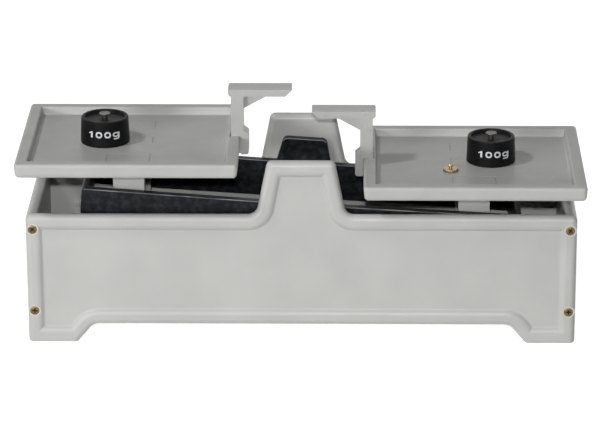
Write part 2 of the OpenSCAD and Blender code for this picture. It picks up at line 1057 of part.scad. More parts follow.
module pointer() {
    rim_out = tray_w / 2;
    post_in = rim_out - tray_rim_w + post_inset;
    post_out = post_in + pointer_post_w;
    tip_x = arm_x - tip_gap / 2;
    hook_out = post_in + hook_wall;
    hook_z = rail_top - tray_rise - clip_gap;
    leg_in = rim_out + clip_room;
    leg_out = leg_in + clip_t;
    barb_z = barb_over - tray_h;
    arm_z = pointer_h - pointer_arm_t;
    color(tray_grey)
        translate([0, 0, tray_rise])
            union() {
                slab(-pointer_d / 2, pointer_d / 2)
                    polygon(outline_points([
                        [post_in, -hook_drop, least_r],
                        [hook_out, -hook_drop, least_r],
                        [hook_out + hook_barb, hook_z - hook_barb, least_r],
                        [hook_out + hook_barb, hook_z, least_r],
                        [hook_out, hook_z, least_r],
                        [hook_out, clip_gap, least_r],
                        [leg_in, clip_gap, least_r],
                        [leg_in, barb_z, least_r],
                        [leg_in - barb, barb_z - barb, least_r],
                        [leg_in - barb, -clip_drop, 0.8],
                        [leg_out, -clip_drop, 1.8],
                        [leg_out, shoulder_z - shoulder_h, 1.2],
                        [post_out, shoulder_z, 1.2],
                        [post_out, arm_z, 0.8],
                        [tip_x - tip_bevel, arm_z, 0.8],
                        [tip_x, pointer_h - tip_t, 0.3],
                        [tip_x, pointer_h, 0.4],
                        [post_in - arm_over, pointer_h, 1],
                        [post_in - arm_over, arm_z, 2],
                        [post_in, arm_z, 0.4]
                    ]));
                slab(-gusset_t / 2, gusset_t / 2)
                    polygon([
                        [post_out - ring_gap, arm_z + ring_gap],
                        [post_out - ring_gap, arm_z - gusset_h],
                        [post_out + gusset_l, arm_z + ring_gap]
                    ]);
            }
}

module left_pointer() {
    at_left()
        pointer();
}

module right_pointer() {
    at_right()
        pointer();
}

// Weights

weight_seat_gap = 0.02;
knob_shank_d = 3;
knob_shank_l = 8;
knob_head_h = 2.2;

// Children on a tray's floor, at the given place from the tray's middle
module on_floor(place) {
    translate([place[0], place[1], tray_floor_z + weight_seat_gap])
        children();
}

// A slightly tapered body with a dished top and a hole for its knob
module weight_body() {
    foot = weight_d / 2;
    top = weight_top_d / 2;
    dish_z = weight_h - dish_d;
    hole = knob_shank_d / 2 + fit_gap;
    color(iron_black)
        rotate_extrude()
            polygon([
                [0, 0],
                [foot - 0.8, 0],
                [foot, 0.8],
                [top, weight_h - 0.8],
                [top - 0.6, weight_h],
                [top - 1.6, weight_h],
                [top - 2.2, dish_z],
                [hole, dish_z],
                [hole, dish_z - knob_shank_l],
                [0, dish_z - knob_shank_l]
            ]);
}

module weight_knob() {
    dish_z = weight_h - dish_d;
    head_z = weight_h + knob_rise - knob_head_h;
    color(steel)
        rotate_extrude()
            polygon([
                [0, dish_z - knob_shank_l + fit_gap],
                [knob_shank_d / 2, dish_z - knob_shank_l + fit_gap],
                [knob_shank_d / 2, dish_z],
                [knob_d / 4, dish_z],
                [knob_d / 4, head_z],
                [knob_d / 2 - 0.4, head_z],
                [knob_d / 2, head_z + 0.4],
                [knob_d / 2, head_z + knob_head_h - 0.5],
                [knob_d / 2 - 0.6, head_z + knob_head_h],
                [0, head_z + knob_head_h]
            ]);
}

module left_weight() {
    at_left()
        on_floor(left_weight_at)
            weight_body();
}

module left_weight_knob() {
    at_left()
        on_floor(left_weight_at)
            weight_knob();
}

module right_weight() {
    at_right()
        on_floor(right_weight_at)
            weight_body();
}

module right_weight_knob() {
    at_right()
        on_floor(right_weight_at)
            weight_knob();
}

// A thin disc with a small knob to lift it by
module brass_weight() {
    knob_r = 1.7;
    neck_r = 1;
    neck_top = brass_t + 1;
    color(brass)
        at_right()
            on_floor(brass_weight_at)
                rotate_extrude()
                    polygon([
                        [0, 0],
                        [brass_d / 2, 0],
                        [brass_d / 2, brass_t - 0.4],
                        [brass_d / 2 - 0.4, brass_t],
                        [neck_r, brass_t],
                        [neck_r, neck_top],
                        [knob_r, neck_top + 0.5],
                        [knob_r, neck_top + 1.2],
                        [knob_r - 0.5, neck_top + 1.8],
                        [0, neck_top + 1.8]
                    ]);
}

front_panel();
rear_panel();
left_end_panel();
right_end_panel();
base_plate();
case_screws_front();
case_screws_rear();
base_screws();
front_bearing();
rear_bearing();
link_bracket();
bracket_screws();
link_pin();
link_pin_clip();
left_stop();
right_stop();
beam_frame();
main_knife();
left_knife();
right_knife();
lower_link();
left_carrier();
left_carrier_bearings();
left_lower_pin();
left_pin_clip();
left_tray();
left_pointer();
right_carrier();
right_carrier_bearings();
right_lower_pin();
right_pin_clip();
right_tray();
right_pointer();
left_weight();
left_weight_knob();
right_weight();
right_weight_knob();
brass_weight();
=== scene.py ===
import math

import bmesh
import bpy
from mathutils import Matrix, Vector


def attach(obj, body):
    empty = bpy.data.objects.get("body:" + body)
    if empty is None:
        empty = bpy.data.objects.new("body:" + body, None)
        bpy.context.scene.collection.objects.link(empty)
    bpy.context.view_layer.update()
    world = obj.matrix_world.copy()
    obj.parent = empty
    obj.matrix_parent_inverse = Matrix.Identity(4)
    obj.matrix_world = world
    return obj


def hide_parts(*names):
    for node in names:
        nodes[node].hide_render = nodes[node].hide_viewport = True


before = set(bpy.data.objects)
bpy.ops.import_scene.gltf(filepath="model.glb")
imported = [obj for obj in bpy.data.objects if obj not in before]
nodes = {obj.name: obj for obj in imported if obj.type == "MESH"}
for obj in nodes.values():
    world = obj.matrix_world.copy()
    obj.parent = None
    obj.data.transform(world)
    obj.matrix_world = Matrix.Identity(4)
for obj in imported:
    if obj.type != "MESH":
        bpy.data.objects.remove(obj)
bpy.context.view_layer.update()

MM = 0.001

# Sizes in millimetres, as in the part's source, whose edges and small details are plainer.
# First the case
CASE_W = 361.0
CASE_D = 107.0
RIM_H = 89.0
TURRET_H = 126.0
TURRET_TOP_W = 44.0
TURRET_BASE_W = 58.6
TURRET_FOOT_R = 7.0
PANEL_T = 8.0
EDGE_R = PANEL_T / 2
FIELD_D = 2.5
CORNER_R = 4.0
FOOT_W = 33.4
ARCH_H = 12.2
ARCH_RUN = 9.5
ARCH_R = 9.0
END_ARCH_R = 5.0
INNER_Y = CASE_D / 2 - PANEL_T
POST_W = 9.0
POST_D = 9.0
POST_X = 151.5
POST_FOOT = 18.2
POST_TOP = 63.0
POCKET_HALF = 7.05
POCKET_D = 4.2
POCKET_ABOVE = 9.83
SCREW_X = 175.8
SCREW_ZS = (22.3, 79.2)
SCREW_D = 3.0
SCREW_L = 22.0
SCREW_TIP_R = 0.5
SCREW_TIP_L = 2.5
SCREW_HEAD_D = 6.1
SCREW_SUNK = 0.03
SCREW_RING_D = 8.6
BOSS_FOOT = 5.0
BOSS_PROUD = 0.03

# The beam, with heights over the line through its knife edges
PIVOT_Z = 88.0
ARM_LEN = 113.5
TILT = math.radians(3.8)
ARM_X = ARM_LEN * math.cos(TILT)
ARM_DZ = ARM_LEN * math.sin(TILT)
BEAM_HALF = 144.5
BEAM_GAP = 1.0
BEAM_OUT_Y = INNER_Y - BEAM_GAP
BEAM_T = 6.0
BEAM_END_T = 4.0
BEAM_BELOW = 19.0
BEAM_ABOVE = 6.0
BEAM_RISE = 1.0
BEAM_CORNER_R = 2.5
HUMP_H = 17.0
HUMP_TOP_W = 29.0
HUMP_BASE_W = 37.0
KNIFE_HALF = 2.55
KNIFE_BODY = 7.38
KNIFE_PLAY = 0.1
KNIFE_ANGLE = math.radians(60)
KNIFE_SKIN = 1.45

# The carriers, with heights over their knife edge
LEG_W = 20.4
LEG_T = 3.0
LEG_OUT_Y = BEAM_OUT_Y - BEAM_T - BEAM_GAP
FLANGE_T = 2.0
FLANGE_D = 6.0
CARRIER_FOOT_Z = -59.0
CARRIER_FOOT_T = 3.5
EAR_R = 6.0
EAR_T = 4.0
EAR_OUT_Y = -7.5
PIN_Z = -49.0
PIN_HOLE_R = 2.05
WINDOW_HALF = 6.5
WINDOW_LOW = -10.83
WINDOW_HIGH = 3.0
RAIL_W = 28.8
RAIL_L = 84.0
RAIL_T = 4.0

# The trays, whose rims are rounder than in the source
TRAY_W = 145.0
TRAY_D = 128.5
TRAY_H = 9.9
TRAY_RISE = 32.2
TRAY_CORNER_R = 3.0
TRAY_LOW_R = 3.2
TRAY_TOP_R = 2.0
TRAY_IN_R = 1.2
TRAY_DRAFT = 0.45
TRAY_RIM_W = 8.2
TRAY_FLOOR_T = 2.5
HOLLOW_D = 5.3
FLOOR_Z = TRAY_RISE - HOLLOW_D
RAIL_TOP = FLOOR_Z - TRAY_FLOOR_T
UNDER_WALL = 3.5
TONGUE_L = 16.0
GROOVE_W = 0.6
GROOVE_D = 0.5
CLIP_YS = (-34.0, 3.0, 33.5)
CLIP_GAP = 0.15
HOOK_T = 2.0
HOOK_LIP = 2.2
HOOK_REACH = 1.7
HOOK_HALF = 5.0

# The pointers, whose posts, legs and shoulders differ from the source's by up to 1 mm
POINTER_H = 33.2
POINTER_D = 13.0
POINTER_ARM_T = 5.4
POINTER_POST_W = 8.0
POST_IN = TRAY_W / 2 - TRAY_RIM_W + 2.4
POINTER_LEG_IN = 0.9
POINTER_LEG_OUT = 5.5
TIP_GAP = 13.0
POINTER_SLOT_W = 2.75
POINTER_SLOT_IN = 1.3

# The weights, whose rims, knobs and figures are finer than in the source
WEIGHT_R = 16.3
WEIGHT_TOP_R = 15.6
WEIGHT_H = 17.5
WEIGHT_RIM_W = 2.2
DISH_W = 2.8
DISH_Z = WEIGHT_H - 2.0
SHANK_R = 1.5
SHANK_L = 7.95
SHANK_PLAY = 0.05
LEFT_WEIGHT = (-17.5, 0.4)
RIGHT_WEIGHT = (-12.3, 6.2)
BRASS_WEIGHT = (15.0, -15.7)
SEAT = 0.02
SPIN = {"left": math.radians(1.7), "right": math.radians(5.1)}
MARK_HALF = 10.85
MARK_Z = 7.0
MARK_R = 16.0
MARK_T = 0.06
MARK_PROUD = 0.03
MARK_SLICES = 70

# Overlaps of solids before they are united, and the least radius of a corner
OVERLAP = 0.5
LET_IN = 0.3
LEAST_R = 0.3

# Steps of arcs
GLYPH_STEPS = 36
PANEL_STEPS = 10
EDGE_STEPS = 16
END_STEPS = 24
TRAY_STEPS = 8
HOLE_STEPS = 48

SMOOTH_BELOW = math.radians(32)
SIDES = ("left", "right")


# Outlines

def turned(v, angle):
    c, s = math.cos(angle), math.sin(angle)
    return Vector((v.x * c - v.y * s, v.x * s + v.y * c))


def rounded_corner(a, b, c, r, inset, steps):
    """The arc at b on the way from a to c; an inset moves it to the left of the way."""
    u = (b - a).normalized()
    v = (c - b).normalized()
    bend = math.atan2(u.x * v.y - u.y * v.x, u.dot(v))
    side = 1 if bend > 0 else -1
    across = Vector((-u.y, u.x))
    onward = Vector((-v.y, v.x))
    q = b + (across + onward) * inset / (1 + across.dot(onward))
    radius = max(r - side * inset, LEAST_R)
    start = q - u * radius * math.tan(abs(bend) / 2)
    centre = start + across * radius * side
    return [centre + turned(start - centre, bend * k / steps) for k in range(steps + 1)]


def outline(corners, inset=0.0, steps=8):
    """All points of an anticlockwise outline of corners (x, y, radius), moved inwards."""
    n = len(corners)
    at = [Vector((c[0], c[1])) for c in corners]
    points = []
    for i in range(n):
        points += rounded_corner(at[i - 1], at[i], at[(i + 1) % n], corners[i][2], inset, steps)
    return points


def both_sides(half):
    return half + [(-x, y, r) for x, y, r in reversed(half)]


def rectangle(w, d, r):
    return [(w / 2, -d / 2, r), (w / 2, d / 2, r), (-w / 2, d / 2, r), (-w / 2, -d / 2, r)]


def panel_corners(sole):
    """A panel's outline, with soles that lie some way under the table."""
    return both_sides([
        (CASE_W / 2 - FOOT_W - ARCH_RUN, ARCH_H, ARCH_R),
        (CASE_W / 2 - FOOT_W + sole * ARCH_RUN / ARCH_H, -sole, CORNER_R),
        (CASE_W / 2, -sole, CORNER_R),
        (CASE_W / 2, RIM_H, CORNER_R),
        (TURRET_BASE_W / 2, RIM_H, TURRET_FOOT_R),
        (TURRET_TOP_W / 2, TURRET_H, CORNER_R),
    ])


def panel_face(steps):
    """The end face of a panel in pieces without hollow corners."""
    m = steps + 1
    last = 12 * m - 1
    right = [(3 * m, i, i + 1) for i in range(3 * m - 1)]
    right += [(0, i, i + 1) for i in range(3 * m, 4 * m)]
    left = [(last - a, last - c, last - b) for a, b, c in right]
    turret = [(i, i + 1, last - i - 1, last - i) for i in range(4 * m, 6 * m - 1)]
    return right + left + turret + [(0, 4 * m, last - 4 * m, last)]


# Meshes

def link(mesh, name):
    piece = bpy.data.objects.new(name, mesh)
    bpy.context.scene.collection.objects.link(piece)
    return piece


def new_mesh(name, verts, faces):
    """An object from vertices in millimetres, with its normals outwards."""
    mesh = bpy.data.meshes.new(name)
    bm = bmesh.new()
    made = [bm.verts.new((x * MM, y * MM, z * MM)) for x, y, z in verts]
    for f in faces:
        try:
            bm.faces.new([made[i] for i in f])
        except ValueError:
            continue
    bmesh.ops.remove_doubles(bm, verts=bm.verts, dist=1e-7)
    bmesh.ops.dissolve_degenerate(bm, dist=1e-7, edges=bm.edges)
    bmesh.ops.recalc_face_normals(bm, faces=bm.faces)
    bm.to_mesh(mesh)
    bm.free()
    return link(mesh, name)


def ring_faces(count, n):
    """The side faces between rings of n points each."""
    faces = []
    for k in range(count - 1):
        for i in range(n):
            j = (i + 1) % n
            faces.append((k * n + i, k * n + j, (k + 1) * n + j, (k + 1) * n + i))
    return faces


def closed_faces(count, n):
    """The side faces between rings of n points each, and the two ends."""
    last = (count - 1) * n
    return ring_faces(count, n) + [tuple(range(n)), tuple(range(last + n - 1, last - 1, -1))]


def prism(name, points, y0, y1):
    """A shape in the XZ plane, solid from y0 to y1."""
    verts = [(p[0], y0, p[1]) for p in points] + [(p[0], y1, p[1]) for p in points]
    return new_mesh(name, verts, closed_faces(2, len(points)))


def column(name, points, reach):
    """A shape in the XY plane, solid from -reach to reach."""
    verts = [(p.x, p.y, -reach) for p in points] + [(p.x, p.y, reach) for p in points]
    return new_mesh(name, verts, closed_faces(2, len(points)))


def block(name, lo, hi):
    return prism(name, [(lo[0], lo[2]), (hi[0], lo[2]), (hi[0], hi[2]), (lo[0], hi[2])],
                 lo[1], hi[1])


def turned_solid(name, profile, steps=96):
    """A body of revolution about Z; the profile's first and last points lie on the axis."""
    verts = [(0.0, 0.0, profile[0][1])]
    inner = profile[1:-1]
    for k in range(steps):
        a = 2 * math.pi * k / steps
        verts += [(r * math.cos(a), r * math.sin(a), z) for r, z in inner]
    verts.append((0.0, 0.0, profile[-1][1]))
    n, end = len(inner), len(verts) - 1
    faces = []
    for k in range(steps):
        a, b = 1 + k * n, 1 + ((k + 1) % steps) * n
        faces.append((0, b, a))
        faces += [(a + i, b + i, b + i + 1, a + i + 1) for i in range(n - 1)]
        faces.append((a + n - 1, b + n - 1, end))
    return new_mesh(name, verts, faces)


def disc(name, r, z0, z1):
    """A plain round tool or boss about Z."""
    return turned_solid(name, [(0, z0), (r, z0), (r, z1), (0, z1)], HOLE_STEPS)


def rounded_profile(points):
    """A profile of (r, z, radius) points with its corners rounded."""
    at = [Vector((p[0], p[1])) for p in points]
    made = [(at[0].x, at[0].y)]
    for i in range(1, len(points) - 1):
        r = points[i][2]
        if r <= 0:
            made.append((at[i].x, at[i].y))
            continue
        made += [(q.x, q.y) for q in rounded_corner(at[i - 1], at[i], at[i + 1], r, 0, 4)]
    made.append((at[-1].x, at[-1].y))
    return made


def discard(piece):
    data = piece.data
    bpy.data.objects.remove(piece)
    bpy.data.meshes.remove(data)


def bake(piece):
    """Turns a piece's modifiers into mesh."""
    bpy.context.view_layer.update()
    graph = bpy.context.evaluated_depsgraph_get()
    done = bpy.data.meshes.new_from_object(piece.evaluated_get(graph))
    old = piece.data
    piece.modifiers.clear()
    piece.data = done
    bpy.data.meshes.remove(old)


def combine(piece, others, operation):
    """Unites a piece with others, cuts them from it, or keeps what they share."""
    for other in others:
        m = piece.modifiers.new("combine", "BOOLEAN")
        m.operation = operation
        m.solver = "EXACT"
        m.object = other
    bake(piece)
    for other in others:
        discard(other)


def soften(piece, width, segments, angle, clamp=True):
    """Rounds a piece's edges that are sharper than the angle in degrees."""
    m = piece.modifiers.new("soften", "BEVEL")
    m.width = width * MM
    m.segments = segments
    m.limit_method = "ANGLE"
    m.angle_limit = math.radians(angle)
    m.use_clamp_overlap = clamp
    bake(piece)


def shade(piece):
    """Smooth faces, with hard edges where they meet at a large angle; large faces stay flat."""
    bm = bmesh.new()
    bm.from_mesh(piece.data)
    for f in bm.faces:
        f.smooth = True
    for e in bm.edges:
        e.smooth = e.calc_face_angle(0) < SMOOTH_BELOW
    bm.to_mesh(piece.data)
    bm.free()
    m = piece.modifiers.new("flatten", "WEIGHTED_NORMAL")
    m.mode = "FACE_AREA"
    m.keep_sharp = True
    bake(piece)


def join(name, parts):
    """One mesh out of several pieces, which keep their places."""
    mesh = bpy.data.meshes.new(name)
    bm = bmesh.new()
    for part in parts:
        bm.from_mesh(part.data)
    bm.to_mesh(mesh)
    bm.free()
    for part in parts:
        discard(part)
    return link(mesh, name)


def put(piece, matrix):
    """Moves the mesh itself; a mirrored one gets its faces turned back."""
    piece.data.transform(matrix)
    if matrix.determinant() < 0:
        piece.data.flip_normals()
    piece.data.update()


def twin(piece, name, matrix):
    """A copy of a piece, moved."""
    other = link(piece.data.copy(), name)
    put(other, matrix)
    return other


def mirrored(pieces):
    """Each piece, followed by its copy on the other side of Y = 0."""
    made = []
    for piece in pieces:
        made += [piece, twin(piece, piece.name, MIRROR_Y)]
    return made


def shift(x, y, z):
    return Matrix.Translation((x * MM, y * MM, z * MM))


def turn(degrees, axis):
    return Matrix.Rotation(math.radians(degrees), 4, axis)


MIRROR_X = Matrix.Scale(-1, 4, (1, 0, 0))
MIRROR_Y = Matrix.Scale(-1, 4, (0, 1, 0))
LEFT = shift(-ARM_X, 0, PIVOT_Z + ARM_DZ)
RIGHT = shift(ARM_X, 0, PIVOT_Z - ARM_DZ) @ MIRROR_X
BEAM = shift(0, 0, PIVOT_Z) @ Matrix.Rotation(TILT, 4, "Y")


def finish_piece(piece, material, body, replaced):
    shade(piece)
    piece.data.materials.clear()
    piece.data.materials.append(material)
    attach(piece, body)
    if replaced:
        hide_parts(*replaced)


def finish_case_pair(piece, name, mirror, material, replaced):
    """Finishes a piece of the case and its mirrored twin; replaced names a node for each."""
    pair = (piece, twin(piece, name, mirror))
    for each, stood_for in zip(pair, replaced or ((), ())):
        finish_piece(each, material, "case", stood_for)


def finish_side_pair(left, right, material, part):
    """Puts two pieces, drawn about a knife edge, on their sides, and finishes them."""
    put(left, LEFT)
    put(right, RIGHT)
    for piece, side in zip((left, right), SIDES):
        finish_piece(piece, material, side + "_side", [side + "_" + part])


# Materials

PLASTIC_IOR = 1.46
GRAIN_SCALE = 2600.0
GRAIN_DEPTH = 0.00006
FLOW_DEPTH = 0.00012
BRUSH_DEPTH = 0.00004
BLACK, WHITE = (0, 0, 0), (1, 1, 1)


class Nodes:
    """A new node material with a Principled shader."""

    def __init__(self, name):
        self.material = bpy.data.materials.new(name)
        self.material.use_nodes = True
        self.tree = self.material.node_tree
        self.shader = next(n for n in self.tree.nodes if n.type == "BSDF_PRINCIPLED")
        self.place = self.add("ShaderNodeTexCoord").outputs["Object"]

    def add(self, kind, **values):
        """A new node; each value goes to the input of that name, or else to the property."""
        node = self.tree.nodes.new(kind)
        for key, value in values.items():
            if key in node.inputs:
                node.inputs[key].default_value = value
            else:
                setattr(node, key, value)
        return node

    def wire(self, a, b):
        self.tree.links.new(a, b)

    def noise(self, scale, detail=3.0, stretch=None, rough=0.5):
        node = self.add("ShaderNodeTexNoise", Scale=scale, Detail=detail, Roughness=rough)
        if stretch:
            mapping = self.add("ShaderNodeMapping", Scale=stretch)
            self.wire(self.place, mapping.inputs["Vector"])
            self.wire(mapping.outputs["Vector"], node.inputs["Vector"])
        else:
            self.wire(self.place, node.inputs["Vector"])
        return node.outputs["Fac"]

    def spread(self, source, low, high, start=0.3, stop=0.7):
        """A number that goes from low to high as the source goes from start to stop."""
        node = self.add("ShaderNodeMapRange")
        node.inputs["From Min"].default_value = start
        node.inputs["From Max"].default_value = stop
        node.inputs["To Min"].default_value = low
        node.inputs["To Max"].default_value = high
        self.wire(source, node.inputs["Value"])
        return node.outputs["Result"]

    def blend(self, source, a, b, start=0.35, stop=0.65):
        """A colour that goes from a to b as the source goes from start to stop."""
        ramp = self.add("ShaderNodeValToRGB")
        first, second = ramp.color_ramp.elements
        first.position, second.position = start, stop
        first.color, second.color = (*a, 1), (*b, 1)
        self.wire(source, ramp.inputs["Fac"])
        return ramp.outputs["Color"]

    def multiply(self, a, b):
        node = self.add("ShaderNodeMixRGB", blend_type="MULTIPLY", Fac=1.0)
        self.wire(a, node.inputs["Color1"])
        self.wire(b, node.inputs["Color2"])
        return node.outputs["Color"]

    def bump(self, source, strength, distance, under=None):
        node = self.add("ShaderNodeBump", Strength=strength, Distance=distance)
        self.wire(source, node.inputs["Height"])
        if under is not None:
            self.wire(under, node.inputs["Normal"])
        return node.outputs["Normal"]

    def grain(self, strength):
        return self.bump(self.noise(GRAIN_SCALE, 2.0), strength, GRAIN_DEPTH)

    def to(self, source, socket):
        self.wire(source, self.shader.inputs[socket])

    def set(self, **values):
        for key, value in values.items():
            self.shader.inputs[key.replace("_", " ")].default_value = value


def tone(rgb, factor):
    return tuple(c * factor for c in rgb)


def moulded(name, rgb, rough, grain=0.12, vary=0.04, streak=0.0, sheen=0.5, patch=34.0):
    """Moulded plastic or paint with a fine grain, small changes of tone and faint flow marks."""
    n = Nodes(name)
    n.set(Roughness=rough, IOR=PLASTIC_IOR, Specular_IOR_Level=sheen)
    clouds = n.noise(patch, 4.0)
    n.to(n.blend(clouds, tone(rgb, 1 - vary), tone(rgb, 1 + vary)), "Base Color")
    n.to(n.spread(n.noise(160.0, 3.0), rough - 0.06, rough + 0.06), "Roughness")
    fine = n.grain(grain)
    if streak:
        lines = n.noise(210.0, 2.0, stretch=(0.06, 1.0, 1.0))
        fine = n.bump(lines, streak, FLOW_DEPTH, fine)
    n.to(fine, "Normal")
    return n.material


def black_with_painted_highlight(name, deep, pale, edge):
    """Black plastic with random paler blotches, and a painted highlight: bevels that lean up and
    out are paler, standing in for the light caught along the long upper edges.
    """
    n = Nodes(name)
    n.set(Roughness=0.36, IOR=PLASTIC_IOR, Specular_IOR_Level=0.10)
    blotches = n.noise(230.0, 5.0, rough=0.65)
    lean = n.add("ShaderNodeSeparateXYZ")
    n.wire(n.add("ShaderNodeNewGeometry").outputs["Normal"], lean.inputs[0])
    # Painted highlight: edge colour where the normal leans up and sideways out, broken up by noise
    painted_highlight_up = n.blend(lean.outputs["Z"], BLACK, WHITE, 0.25, 0.45)
    sideways = n.add("ShaderNodeMath", operation="ABSOLUTE")
    n.wire(lean.outputs["Y"], sideways.inputs[0])
    outwards = n.blend(sideways.outputs[0], BLACK, WHITE, 0.32, 0.6)
    uneven = n.blend(n.noise(60.0, 4.0), (0.3, 0.3, 0.3), WHITE, 0.38, 0.6)
    mix = n.add("ShaderNodeMixRGB", Color2=(*edge, 1))
    n.wire(n.multiply(n.multiply(painted_highlight_up, outwards), uneven), mix.inputs["Fac"])
    n.wire(n.blend(blotches, deep, pale, 0.43, 0.68), mix.inputs["Color1"])
    n.to(mix.outputs["Color"], "Base Color")
    n.to(n.spread(blotches, 0.30, 0.44), "Roughness")
    n.to(n.grain(0.2), "Normal")
    return n.material


def metal(name, rgb, rough, brushed=(1.0, 1.0, 1.0), scale=900.0, strength=0.15, vary=0.08):
    """Metal with fine marks, which are drawn out where brushed is small."""
    n = Nodes(name)
    n.set(Metallic=1.0, Roughness=rough)
    lines = n.noise(scale, 3.0, stretch=brushed)
    n.to(n.blend(lines, tone(rgb, 1 - vary), tone(rgb, 1 + vary * 0.5)), "Base Color")
    n.to(n.spread(lines, rough - 0.05, rough + 0.09), "Roughness")
    n.to(n.bump(lines, strength, BRUSH_DEPTH), "Normal")
    return n.material


CASE_RGB = (0.455, 0.455, 0.442)
TRAY_RGB = (0.435, 0.435, 0.422)
ACROSS_X, ACROSS_Y = (0.1, 1.0, 1.0), (1.0, 0.05, 1.0)

case_plastic = moulded("case_plastic", CASE_RGB, 0.39, grain=0.10, vary=0.03, sheen=0.40)
inner_plastic = moulded("inner_plastic", tone(CASE_RGB, 0.9), 0.55, vary=0.03)
seat_plastic = moulded("seat_plastic", (0.54, 0.52, 0.48), 0.50, grain=0.10, vary=0.03)
tray_plastic = moulded("tray_plastic", TRAY_RGB, 0.44, grain=0.08, vary=0.035, streak=0.10,
                       sheen=0.32)
carrier_plastic = moulded("carrier_plastic", tone(TRAY_RGB, 0.82), 0.5)
pointer_plastic = moulded("pointer_plastic", tone(TRAY_RGB, 0.92), 0.32, grain=0.08, vary=0.03,
                          sheen=0.75)
# The last colour is the painted highlight along the beam's upper edges
beam_plastic = black_with_painted_highlight("beam_plastic", (0.0085, 0.009, 0.0108), (0.025, 0.0265, 0.031),
                          (0.27, 0.275, 0.285))
link_plastic = moulded("link_plastic", (0.012, 0.012, 0.014), 0.42, grain=0.15, vary=0.25,
                       sheen=0.3)
iron_paint = moulded("iron_paint", (0.0035, 0.0035, 0.0038), 0.45, grain=0.22, vary=0.25,
                     sheen=0.12)
rubber_pad = moulded("rubber_pad", (0.022, 0.022, 0.023), 0.75, grain=0.35, vary=0.2)
letter_paint = moulded("letter_paint", (0.58, 0.595, 0.615), 0.50, grain=0.06, vary=0.05,
                       patch=300.0)
# Painted shade: the dark brown of the floors in the screws' cross recesses
painted_recess_shade = moulded("painted_recess_shade", (0.035, 0.022, 0.008), 0.6, grain=0.2, vary=0.3, sheen=0.3)
ground_steel = metal("ground_steel", (0.56, 0.57, 0.59), 0.30, brushed=ACROSS_Y)
plate_steel = metal("plate_steel", (0.50, 0.51, 0.53), 0.36, brushed=ACROSS_X)
bright_steel = metal("bright_steel", (0.145, 0.136, 0.125), 0.36, brushed=(1.0, 1.0, 0.15),
                     scale=1500.0, vary=0.2)
screw_brass = metal("screw_brass", (0.165, 0.122, 0.066), 0.38, scale=1100.0, strength=0.3,
                    vary=0.45)
bright_brass = metal("bright_brass", (0.36, 0.28, 0.17), 0.32, brushed=(1.0, 1.0, 0.2),
                     scale=1600.0)


# Case panels

def on_front(x, z, h):
    """A place on the front panel, with +Z out of its face; h is its height over the inner face."""
    return shift(x, -INNER_Y - h, z) @ turn(90, "X")


# The way from the raised rim down to the sunk field: (drop, distance from the outline)
RIM_STEP = [(0.0, 6.5), (0.06, 7.1), (0.22, 7.8), (0.48, 8.5), (0.82, 9.1), (1.22, 9.6),
            (1.62, 9.98), (1.98, 10.3), (2.26, 10.65), (2.42, 11.0), (FIELD_D, 11.4)]


def panel_mesh(name):
    """A panel's round edge and its face with the sunk field; the soles are cut off level."""
    sole = 2.0
    rings = []
    for k in range(EDGE_STEPS + 1):
        a = math.pi * k / EDGE_STEPS
        ring = outline(panel_corners(sole), EDGE_R * (1 - math.sin(a)), PANEL_STEPS)
        rings.append(([(p.x, max(p.y, 0.0)) for p in ring], EDGE_R * (1 - math.cos(a))))
    for drop, inset in RIM_STEP:
        ring = outline(panel_corners(0.0), inset, PANEL_STEPS)
        rings.append(([(p.x, p.y) for p in ring], PANEL_T - drop))
    n = len(rings[0][0])
    verts = [(x, -INNER_Y - h, z) for points, h in rings for x, z in points]
    last = (len(rings) - 1) * n
    ends = panel_face(PANEL_STEPS)
    faces = ring_faces(len(rings), n) + ends
    faces += [tuple(last + i for i in reversed(f)) for f in ends]
    return new_mesh(name, verts, faces)


def at_screws(draw, h, sides=(-1, 1)):
    """What draw(side, z) makes, put on the front panel at each of its screws."""
    made = []
    for side in sides:
        for z in SCREW_ZS:
            for piece in draw(side, z):
                put(piece, on_front(side * SCREW_X, z, h))
                made.append(piece)
    return made


def screw_boss(side, z):
    return [disc("boss", SCREW_RING_D / 2, 0, PANEL_T - BOSS_FOOT + BOSS_PROUD)]


def screw_hole(side, z):
    """The tool for a countersunk hole, with a little play round the screw."""
    play, depth = 0.05, PANEL_T + 1
    r, head = SCREW_D / 2 + play, SCREW_HEAD_D / 2 + play
    drop = (SCREW_HEAD_D - SCREW_D) / 2 + play
    profile = [(0, -depth), (r, -depth), (r, -drop), (head, 0), (head, 1.0), (0, 1.0)]
    return [turned_solid("hole", profile, HOLE_STEPS)]


def make_panel(name):
    """A panel with its screw holes, the posts for the base plate and the bearing's pocket."""
    panel = panel_mesh(name)
    added = []
    for side in (-1, 1):
        x = side * POST_X
        added += at_screws(screw_boss, BOSS_FOOT, [side])
        added.append(block("post", (x - POST_W / 2, -INNER_Y - OVERLAP, POST_FOOT),
                           (x + POST_W / 2, -INNER_Y + POST_D, POST_TOP)))
    cuts = at_screws(screw_hole, PANEL_T)
    cuts.append(block("pocket", (-POCKET_HALF, -INNER_Y - POCKET_D, PIVOT_Z - POCKET_HALF),
                      (POCKET_HALF, -INNER_Y + 1, PIVOT_Z + POCKET_ABOVE)))
    combine(panel, added, "UNION")
    combine(panel, cuts, "DIFFERENCE")
    return panel


def screw_seat(side, z):
    """The pale flat ring around a screw."""
    inner, outer = SCREW_HEAD_D / 2 + 0.06, SCREW_RING_D / 2 - 0.3
    thick, edge = 0.09, 0.05
    profile = [(0, 0), (outer, 0), (outer, edge), (outer - edge, thick), (0, thick)]
    seat = turned_solid("seat", profile, HOLE_STEPS)
    combine(seat, [disc("tool", inner, -1, 1)], "DIFFERENCE")
    return [seat]


def screw_cross(side, z, reach, half, z0, z1):
    """The two bars of a screw's cross recess; each screw is turned differently."""
    bars = []
    for a in (0, 90):
        bar = block("bar", (-reach, -half, z0), (reach, half, z1))
        put(bar, turn(20 + 47 * side + z, "Z") @ turn(a, "Z"))
        bars.append(bar)
    return bars


